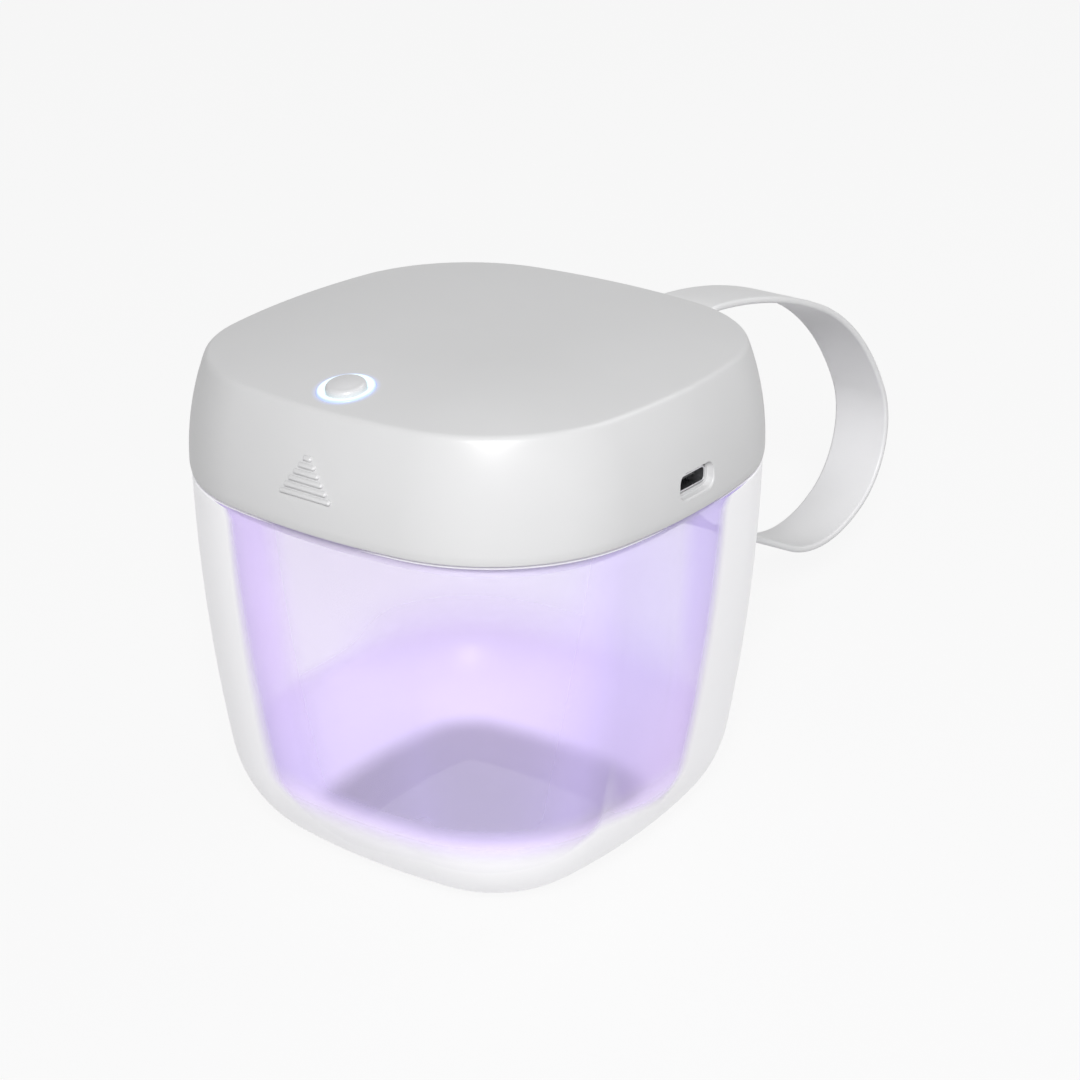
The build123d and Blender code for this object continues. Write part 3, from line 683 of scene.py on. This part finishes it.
def ribTree():
    # bars stacked up the front of the lid, each shorter than the one below
    tree = ShapeTree("thumbRibs", {
        "Count": int, "Pitch": float, "Base Width": float, "Tip Width": float, "Height": float,
        "Proud": float, "Lean Radius": float, "Front": float, "Start": float, "Belly": float,
        "Material": "material"})
    line = tree.add("GeometryNodeMeshLine", {"mode": "OFFSET"}, {
        "Count": tree.value("Count"), "Start Location": tree.join(0.0, 0.0, tree.value("Start")),
        "Offset": tree.join(0.0, 0.0, tree.value("Pitch"))})
    bead = tree.add("GeometryNodeMeshUVSphere", None, {"Segments": 32, "Rings": 16, "Radius": 1.0})
    size = tree.join(tree.value("Height") / 2.0, tree.value("Proud"), tree.value("Height") / 2.0)
    placed = tree.add("GeometryNodeInstanceOnPoints", None, {
        "Points": line, "Instance": bead, "Scale": size})
    ranked = tree.add("GeometryNodeStoreNamedAttribute", {"data_type": "FLOAT", "domain": "INSTANCE"}, {
        "Geometry": placed, "Name": "rank", "Value": tree.add("GeometryNodeInputIndex")})
    real = tree.add("GeometryNodeRealizeInstances", None, {"Geometry": ranked})
    rank = tree.add("GeometryNodeInputNamedAttribute", {"data_type": "FLOAT"}, {"Name": "rank"}, "Attribute")
    share = rank / (tree.value("Count") - 1.0)
    width = tree.value("Base Width") + share * (tree.value("Tip Width") - tree.value("Base Width"))
    x, y, z = tree.split(tree.add("GeometryNodeInputPosition"))
    push = tree.math("SIGN", x) * (width - tree.value("Height")) / 2.0
    drop = z - tree.value("Belly")
    bulge = tree.value("Lean Radius")
    wall = tree.value("Front") - bulge + tree.math("SQRT", bulge * bulge - drop * drop)
    moved = tree.add("GeometryNodeSetPosition", None, {
        "Geometry": real, "Position": tree.join(x + push, y - wall, z)})
    smooth = tree.add("GeometryNodeSetShadeSmooth", None, {"Geometry": moved})
    tree.finish(smooth, tree.value("Material"))
    return tree


def makeRibs():
    return ribTree().make("ribs", meshFrom("ribs", []), {
        "Count": grip["count"], "Pitch": grip["pitch"] * mm, "Base Width": grip["baseWidth"] * mm,
        "Tip Width": grip["tipWidth"] * mm, "Height": grip["height"] * mm, "Proud": grip["proud"] * mm,
        "Lean Radius": lidSize["sideBulge"] * mm, "Front": plan["half"] * mm, "Belly": belly * mm,
        "Start": (lidSize["edge"] + grip["rise"]) * mm, "Material": lidMaterial})


hinge = {
    "standOff": 3.6, "strapWidth": 11.8, "play": 0.4, "ear": 3.2, "knuckle": 2.9, "knucklePlay": 0.3,
    "knuckleWidth": 3.8, "knuckleEdge": 0.3, "knuckleSteps": 40, "web": (0.4, 5.0), "webDepth": 2.1,
    "bore": 1.06, "boreBeyond": 2, "segments": 96,
}
pivot = Vector((0, plan["half"] + hinge["standOff"], belly))
pinFrame = Matrix.Translation(pivot) @ Matrix.Rotation(math.pi / 2, 4, "Y")
earEnd = hinge["strapWidth"] / 2 + hinge["play"] + hinge["ear"]
knuckleStart = earEnd + hinge["knucklePlay"]
knuckleEnd = knuckleStart + hinge["knuckleWidth"]


def pinBore(radius, reach):
    # cutter along the hinge's axis, past reach on both sides
    end = reach + hinge["boreBeyond"]
    outline = [(0, -end), (radius, -end), (radius, end), (0, end)]
    return lathe("bore", outline, hinge["segments"], pinFrame)


def knuckle(side):
    # round eye whose web runs tangent into the lid's rear wall
    root = [(plan["half"] - hinge["webDepth"], belly + height) for height in hinge["web"]]
    radius, edge = hinge["knuckle"], hinge["knuckleEdge"]
    around = []
    for step in range(hinge["knuckleSteps"]):
        angle = 2 * math.pi * step / hinge["knuckleSteps"]
        around.append((pivot.y + radius * math.cos(angle), pivot.z + radius * math.sin(angle)))
    work = bmesh.new()
    for x, grow in ((knuckleStart, -edge), (knuckleStart + edge, 0),
                    (knuckleEnd - edge, 0), (knuckleEnd, -edge)):
        for y, z in around + root:
            away = Vector((y - pivot.y, z - pivot.z))
            away = away * (1 + grow / away.length)
            work.verts.new(Vector((side * x, pivot.y + away.x, pivot.z + away.y)) * mm)
    bmesh.ops.convex_hull(work, input=work.verts)
    bmesh.ops.recalc_face_normals(work, faces=work.faces)
    mesh = bpy.data.meshes.new("knuckle")
    work.to_mesh(mesh)
    work.free()
    return addObject("knuckle", mesh)


boss = {"radius": 2.8, "inset": 16.5, "hole": 1.0, "depth": 6.5, "sink": 0.4, "postRadius": 2.2,
        "postReach": 8.7, "boardGap": 0.8, "postHole": 3.0, "postSink": 1.0, "segments": 48}


def addPost(shell, name, radius, low, high, hole, place):
    # round post with a blind screw hole in its foot
    outline = [(0, low + hole), (boss["hole"], low + hole), (boss["hole"], low),
               (radius, low), (radius, high), (0, high)]
    combine(shell, lathe(name, outline, boss["segments"], place), "UNION")


def addBosses(shell):
    # four for the cover's screws, and two behind the button for its board
    reach = plan["half"] - boss["inset"]
    foot = boxOf("uv_window")[1].z
    high = crease - lidSize["roof"] + lidSize["domeRise"] - boss["sink"]
    for x in (-reach, reach):
        for y in (-reach, reach):
            addPost(shell, "boss", boss["radius"], foot, high, boss["depth"], Matrix.Translation((x, y, 0)))
    low = -ring["depth"] - boss["boardGap"]
    for side in (-1, 1):
        place = buttonFrame @ Matrix.Translation((side * boss["postReach"], 0, 0))
        addPost(shell, "post", boss["postRadius"], low, -boss["postSink"], boss["postHole"], place)


def makeLid():
    print("lid: shell")
    shell = makeLidShell()
    shell.name = "greyLid"
    narrow = ring["outer"] + ring["gap"]
    wide, high, low = narrow + ring["flange"], ring["cutAbove"], -ring["depth"] - ring["depthGap"]
    hole = [(0, high), (narrow, high), (narrow, -ring["seat"]), (wide, -ring["seat"]), (wide, low), (0, low)]
    combine(shell, lathe("buttonHole", hole, ring["segments"], buttonFrame), "DIFFERENCE")
    makeSocketCuts(shell)
    print("lid: ribs, knuckles and bosses")
    combine(shell, makeRibs(), "UNION")
    for side in (-1, 1):
        combine(shell, knuckle(side), "UNION")
    combine(shell, pinBore(hinge["bore"], knuckleEnd), "DIFFERENCE")
    addBosses(shell)
    shell.data.materials.clear()
    shell.data.materials.append(lidMaterial)
    smoothByAngle(shell.data)
    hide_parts("lid_shell")
    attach(shell, "lid")
    return shell


button = {
    "radius": 3.2, "proud": 1.0, "crown": 0.3, "crownSteps": 10, "round": 0.95,
    "shoulder": (0.06, 0.05, 0.76),      # in from the side, down from the top, and its radius
    "flange": 3.8, "flangeThick": 0.6, "flangeRound": 0.1, "play": 0.2, "stem": 1.3, "stemLength": 1.0,
}


def makeRing():
    top, depth = ring["proud"], -ring["depth"]
    wide = ring["outer"] + ring["flange"]
    outline = roundedPath([
        (ring["inner"], top, ring["round"]), (ring["outer"], top, ring["round"]),
        (ring["outer"], -ring["seat"]), (wide, -ring["seat"], ring["flangeRound"]),
        (wide, depth, ring["flangeRound"]), (ring["chamber"], depth),
        (ring["chamber"], -ring["step"]), (ring["inner"], -ring["step"])])
    piece = lathe("litRing", outline, ring["segments"], buttonFrame, closed=True)
    piece.data.materials.append(glowingRing())
    smoothByAngle(piece.data)
    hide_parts("light_ring")
    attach(piece, "lid")


def makeButton():
    radius, top = button["radius"], button["proud"]
    high = -ring["step"] - button["play"]
    low = high - button["flangeThick"]
    end = low - button["stemLength"]
    crownEdge = radius - button["round"]
    curve = (crownEdge**2 + button["crown"]**2) / (2 * button["crown"])
    crown = []
    for reach in blendBetween(0.0, crownEdge, button["crownSteps"]):
        crown.append((reach, top + button["crown"] - curve + math.sqrt(curve**2 - reach**2)))
    inward, drop, shoulder = button["shoulder"]
    flange, stem, small = button["flange"], button["stem"], button["flangeRound"]
    side = roundedPath([crown[-1], (radius - inward, top - drop, shoulder), (radius, high),
                        (flange, high, small), (flange, low, small), (stem, low),
                        (stem, end, small), (0, end)], 8)
    piece = lathe("pressButton", crown + side[1:], ring["segments"], buttonFrame)
    piece.data.materials.append(buttonGrey())
    smoothByAngle(piece.data)
    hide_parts("button_cap")
    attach(piece, "button")


def buttonGrey():
    finish = Finish("satinButtonGrey", (0.60, 0.60, 0.61), 0.32)
    return finish.mottle(90.0, 0.012).grain(3200.0, 0.12).material


strapSize = {
    "heading": 34.0, "root": 10.0, "radii": (12.6, 113.9, 54.9, 16.2, 29.1),
    "turns": (39.8, 18.1, 37.8, 90.0, 54.5), "run": 28.8, "returnRadii": (30.7, 46.7),
    "returnTurns": (50.8, 15.8), "width": hinge["strapWidth"], "thickness": 1.3, "edgeRound": 0.55,
    "edgeSteps": 6, "step": 1.5, "bore": 1.08, "eyeEdge": 0.35,
}


def strapPath():
    # middle line of the loop in (Y, Z), from the eye round and back to it
    place, heading = Vector((pivot.y, pivot.z)), math.radians(strapSize["heading"])
    path = [place.copy()]

    def forward(length):
        nonlocal place
        for _ in range(4):
            place = place + Vector((math.cos(heading), math.sin(heading))) * length / 4
            path.append(place.copy())

    def bend(radius, turn):
        nonlocal place, heading
        centre = place + Vector((math.sin(heading), -math.cos(heading))) * radius
        count = math.ceil(turn / strapSize["step"])
        for step in range(1, count + 1):
            angle = heading - math.radians(turn) * step / count
            place = centre - Vector((math.sin(angle), -math.cos(angle))) * radius
            path.append(place.copy())
        heading -= math.radians(turn)

    forward(strapSize["root"])
    for radius, turn in zip(strapSize["radii"], strapSize["turns"]):
        bend(radius, turn)
    forward(strapSize["run"])
    for radius, turn in zip(strapSize["returnRadii"], strapSize["returnTurns"]):
        bend(radius, turn)
    return path


def bandTree():
    # a flat band with rounded edges that follows a line of points
    tree = ShapeTree("softBand", {
        "Width": float, "Thickness": float, "Edge Round": float, "Edge Steps": int, "Material": "material"})
    path = tree.add("GeometryNodeMeshToCurve", None, {"Mesh": tree.value("Geometry")})
    path = tree.add("GeometryNodeSetCurveNormal", {"mode": "FREE"}, {
        "Curve": path, "Normal": (1.0, 0.0, 0.0)})
    section = tree.add("GeometryNodeCurvePrimitiveQuadrilateral", {"mode": "RECTANGLE"}, {
        "Width": tree.value("Width"), "Height": tree.value("Thickness")})
    section = tree.add("GeometryNodeFilletCurve", {"mode": "POLY"}, {
        "Curve": section, "Count": tree.value("Edge Steps"), "Radius": tree.value("Edge Round"),
        "Limit Radius": True})
    band = tree.add("GeometryNodeCurveToMesh", None, {
        "Curve": path, "Profile Curve": section, "Fill Caps": True})
    smooth = tree.add("GeometryNodeSetShadeSmooth", None, {"Geometry": band})
    tree.finish(smooth, tree.value("Material"))
    return tree


def strapRubber():
    finish = Finish("softStrapGrey", (0.74, 0.74, 0.745), 0.42)
    finish.mottle(30.0, 0.02).grain(2200.0, 0.18)
    return finish.material


def makeStrap():
    material = strapRubber()
    path = strapPath()
    line = meshFrom("strap", [(0, point.x, point.y) for point in path],
                    edges=[(index, index + 1) for index in range(len(path) - 1)])
    band = bandTree().make("softStrap", line, {
        "Width": strapSize["width"] * mm, "Thickness": strapSize["thickness"] * mm,
        "Edge Round": strapSize["edgeRound"] * mm, "Edge Steps": strapSize["edgeSteps"],
        "Material": material})
    half, edge, outer = strapSize["width"] / 2, strapSize["eyeEdge"], hinge["knuckle"]
    eye = roundedPath([(0, -half), (outer, -half, edge), (outer, half, edge), (0, half)])
    combine(band, lathe("eye", eye, hinge["segments"], pinFrame), "UNION")
    combine(band, pinBore(strapSize["bore"], half), "DIFFERENCE")
    band.data.materials.clear()
    band.data.materials.append(material)
    smoothByAngle(band.data)
    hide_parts("strap")
    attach(band, "strap")


def paint(material, *names):
    for name in names:
        mesh = nodes[name].data
        mesh.materials.clear()
        mesh.materials.append(material)


def boardMask(name, colour):
    # solder mask with fine tracks that show through as a lighter tone
    finish = Finish(name, colour, 0.38)
    x, y, _ = finish.split(finish.coordinates)
    across = finish.add("ShaderNodeTexWave", {"bands_direction": "X"}, {
        "Vector": finish.coordinates, "Scale": 190.0, "Distortion": 6.0, "Detail": 1.0})
    tracks = across.ramp(0.62, 0.72)
    lighter = (*[min(1.0, channel * 1.35 + 0.02) for channel in colour], 1.0)
    finish.set("Base Color", finish.mixColour(tracks, (*colour, 1.0), lighter))
    finish.set("Normal", finish.add("ShaderNodeBump", None, {
        "Strength": 0.2, "Distance": 0.03 * mm, "Height": tracks}))
    return finish.material


def lampPackage():
    # violet lens in the middle of each lamp, over a pale ceramic package
    finish = Finish("violetLamp", (0.80, 0.74, 0.98), 0.2)
    finish.mottle(500.0, 0.03)
    finish.set("Emission Color", (0.45, 0.25, 0.95, 1.0))
    finish.shader.inputs["Emission Strength"].default_value = 0.6
    return finish.material


def clearWindow():
    finish = Finish("quartzWindow", (0.86, 0.84, 0.98), 0.08, Alpha=0.28)
    return finish.mottle(40.0, 0.02).material


def paintSolids():
    steel = metal("platedSteel", (0.62, 0.62, 0.64), 0.28)
    paint(steel, "hinge_pin", "interlock_magnet", "main_board_screws", "uv_board_screws",
          "button_board_screws", "usb_socket")
    paint(metal("brightReflector", (0.86, 0.86, 0.88), 0.12), "uv_reflector")
    paint(lidMaterial, "hinge_bracket")
    paint(mouldedPlastic("glossCoverWhite", (0.78, 0.78, 0.79), 0.22), "inner_cover")
    paint(mouldedPlastic("siliconeWhite", (0.74, 0.74, 0.76), 0.5, 0.3), "lid_gasket")
    paint(mouldedPlastic("blackEpoxy", (0.02, 0.02, 0.022), 0.45, 0.3),
          "usb_tongue", "board_chips", "hall_sensor", "tact_switch", "switch_plunger")
    paint(mouldedPlastic("creamNylon", (0.74, 0.68, 0.52), 0.4), "board_connectors")
    paint(mouldedPlastic("blueSleeve", (0.10, 0.22, 0.48), 0.3, 0.25), "battery")
    paint(mouldedPlastic("leadBlack", (0.03, 0.03, 0.03), 0.5), "battery_lead", "uv_lead", "button_lead")
    paint(boardMask("greenMask", (0.02, 0.12, 0.05)), "main_board")
    paint(boardMask("whiteMask", (0.76, 0.76, 0.74)), "uv_board", "button_board")
    paint(lampPackage(), "uv_leds", "ring_leds")
    paint(clearWindow(), "uv_window")


screwSize = {
    "head": 1.8, "headHeight": 1.0, "headRound": 0.55, "shank": 0.95, "plain": 1.0, "pitch": 0.7,
    "ridge": 0.2, "groove": 0.5, "threadDepth": 0.2, "tip": 0.25, "segments": 40,
    "recess": 0.42, "reach": 1.15, "depth": 0.55, "turnStep": 0.7,
}


def screwTree():
    # one screw at each corner of a square
    tree = ShapeTree("cornerScrews", {
        "Reach": float, "Height": float, "Turn Step": float, "Material": "material"})
    span = tree.value("Reach") * 2.0
    square = tree.add("GeometryNodeMeshGrid", None, {
        "Size X": span, "Size Y": span, "Vertices X": 2, "Vertices Y": 2})
    spots = tree.add("GeometryNodeMeshToPoints", None, {"Mesh": square})
    lifted = tree.add("GeometryNodeSetPosition", None, {
        "Geometry": spots, "Offset": tree.join(0.0, 0.0, tree.value("Height"))})
    placed = tree.add("GeometryNodeInstanceOnPoints", None, {
        "Points": lifted, "Instance": tree.value("Geometry"),
        "Rotation": tree.join(0.0, 0.0, tree.add("GeometryNodeInputIndex") * tree.value("Turn Step"))})
    tree.finish(placed, tree.value("Material"))
    return tree


def makeCoverScrews(steel):
    # pan head down, cross recess in it, threaded shank up
    low, high = boxOf("lid_screws")
    seat, tip = screwSize["headHeight"], high.z - low.z
    head, ridge, core = screwSize["head"], screwSize["shank"], screwSize["shank"] - screwSize["threadDepth"]
    thread = []
    for level in range(int((tip - seat - screwSize["plain"]) / screwSize["pitch"])):
        base = seat + level * screwSize["pitch"]
        thread += [(ridge, base + screwSize["ridge"]), (core, base + screwSize["groove"])]
    outline = [(0, 0)] + roundedPath([(0, 0), (head, 0, screwSize["headRound"]), (head, seat)], 6)[1:]
    outline += [(core, seat)] + thread + [(screwSize["tip"], tip), (0, tip)]
    screw = lathe("screw", outline, screwSize["segments"])
    for turn in (0, 90):
        cutter = addObject("cutter", bpy.data.meshes.new("cutter"))
        work = bmesh.new()
        bmesh.ops.create_cube(work, size=1.0)
        size = (screwSize["reach"] * 2, screwSize["recess"], screwSize["depth"] * 2)
        bmesh.ops.scale(work, vec=[value * mm for value in size], verts=work.verts)
        bmesh.ops.rotate(work, matrix=Matrix.Rotation(math.radians(turn), 3, "Z"), verts=work.verts)
        work.to_mesh(cutter.data)
        work.free()
        combine(screw, cutter, "DIFFERENCE")
    screws = screwTree().make("coverScrews", screw.data, {
        "Reach": (plan["half"] - boss["inset"]) * mm, "Height": low.z * mm,
        "Turn Step": screwSize["turnStep"], "Material": steel})
    bpy.data.objects.remove(screw)
    smoothByAngle(screws.data)
    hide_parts("lid_screws")
    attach(screws, "lid")


studio = {
    "backdrop": 1.0, "world": 0.17, "floorSize": 3.0, "floorGlow": 0.90, "floorTone": 0.6,
    "key": {"place": (0.50, -0.65, 0.58), "size": 0.24, "power": 9.6},
    "rim": {"place": (0.35, 0.55, 0.75), "size": 0.5, "power": 1.8},
    "aim": (0, 0, 0.045),
}
view = {"azimuth": 36.64, "elevation": 23.17, "distance": 427.46, "focal": 2574.74, "frame": 1080.0,
        "sensor": 36.0, "aim": 31.5, "right": 9.74, "up": 17.94}


def grey(level):
    return (level, level, level, 1.0)


def seenAsBackdrop(graph):
    # 1 where the surface is seen directly, in gloss or through glass, and 0 where it only gives light
    path = graph.tree.nodes.new("ShaderNodeLightPath")
    camera, glossy, transmitted = [
        Pin(graph, path.outputs[label])
        for label in ("Is Camera Ray", "Is Glossy Ray", "Is Transmission Ray")]
    return (camera + glossy + transmitted).least(1.0)


def makeFloor():
    size = studio["floorSize"] / mm / 2
    floor = addObject("floor", meshFrom("floor", [
        (-size, -size, 0), (size, -size, 0), (size, size, 0), (-size, size, 0)], [(0, 1, 2, 3)]))
    material = bpy.data.materials.new("paleFloor")
    material.use_nodes = True
    graph = Graph(material.node_tree)
    graph.tree.nodes.clear()
    matt = graph.add("ShaderNodeBsdfDiffuse", None, {"Color": grey(studio["floorTone"])})
    bright = graph.add("ShaderNodeEmission", None, {"Color": grey(studio["backdrop"]), "Strength": 1.0})
    mixed = graph.add("ShaderNodeMixShader", None, {
        0: seenAsBackdrop(graph) * studio["floorGlow"], 1: matt, 2: bright})
    sink = graph.tree.nodes.new("ShaderNodeOutputMaterial")
    graph.feed(sink.inputs["Surface"], mixed)
    floor.data.materials.append(material)


def makeWorld():
    world = bpy.data.worlds.new("softRoom")
    scene.world = world
    world.use_nodes = True
    graph = Graph(world.node_tree)
    graph.tree.nodes.clear()
    white = grey(studio["backdrop"])
    seen = graph.add("ShaderNodeBackground", None, {"Color": white, "Strength": 1.0})
    light = graph.add("ShaderNodeBackground", None, {"Color": white, "Strength": studio["world"]})
    mixed = graph.add("ShaderNodeMixShader", None, {0: seenAsBackdrop(graph), 1: light, 2: seen})
    sink = graph.tree.nodes.new("ShaderNodeOutputWorld")
    graph.feed(sink.inputs["Surface"], mixed)


def makeLights():
    aim = Vector(studio["aim"])
    for name in ("key", "rim"):
        lamp = bpy.data.lights.new(name, "AREA")
        lamp.shape = "DISK"
        lamp.size = studio[name]["size"]
        lamp.energy = studio[name]["power"]
        holder = bpy.data.objects.new(name, lamp)
        holder.location = studio[name]["place"]
        holder.rotation_euler = (aim - holder.location).to_track_quat("-Z", "Y").to_euler()
        scene.collection.objects.link(holder)


def makeCamera():
    turn, lift = math.radians(view["azimuth"]), math.radians(view["elevation"])
    forward = Vector((-math.sin(turn) * math.cos(lift), math.cos(turn) * math.cos(lift), -math.sin(lift)))
    right = Vector((math.cos(turn), math.sin(turn), 0))
    up = right.cross(forward)
    place = Vector((0, 0, view["aim"])) - view["distance"] * forward
    place += view["right"] * right + view["up"] * up
    camera = bpy.data.cameras.new("camera")
    camera.sensor_width = view["sensor"]
    camera.sensor_fit = "HORIZONTAL"
    camera.lens = view["focal"] / view["frame"] * view["sensor"]
    camera.clip_start = 0.01
    holder = bpy.data.objects.new("camera", camera)
    turned = Matrix((right, up, -forward)).transposed().to_4x4()
    holder.matrix_world = Matrix.Translation(place * mm) @ turned
    scene.collection.objects.link(holder)
    scene.camera = holder


makeCamera()
makeFloor()
makeWorld()
makeLights()
print("stage: camera, floor and lights")
makeBin()
print("bin: done")
makeLid()
makeRing()
makeButton()
print("button: done")
makeStrap()
print("strap: done")
paintSolids()
makeCoverScrews(bpy.data.materials["platedSteel"])
print("finishes: done")
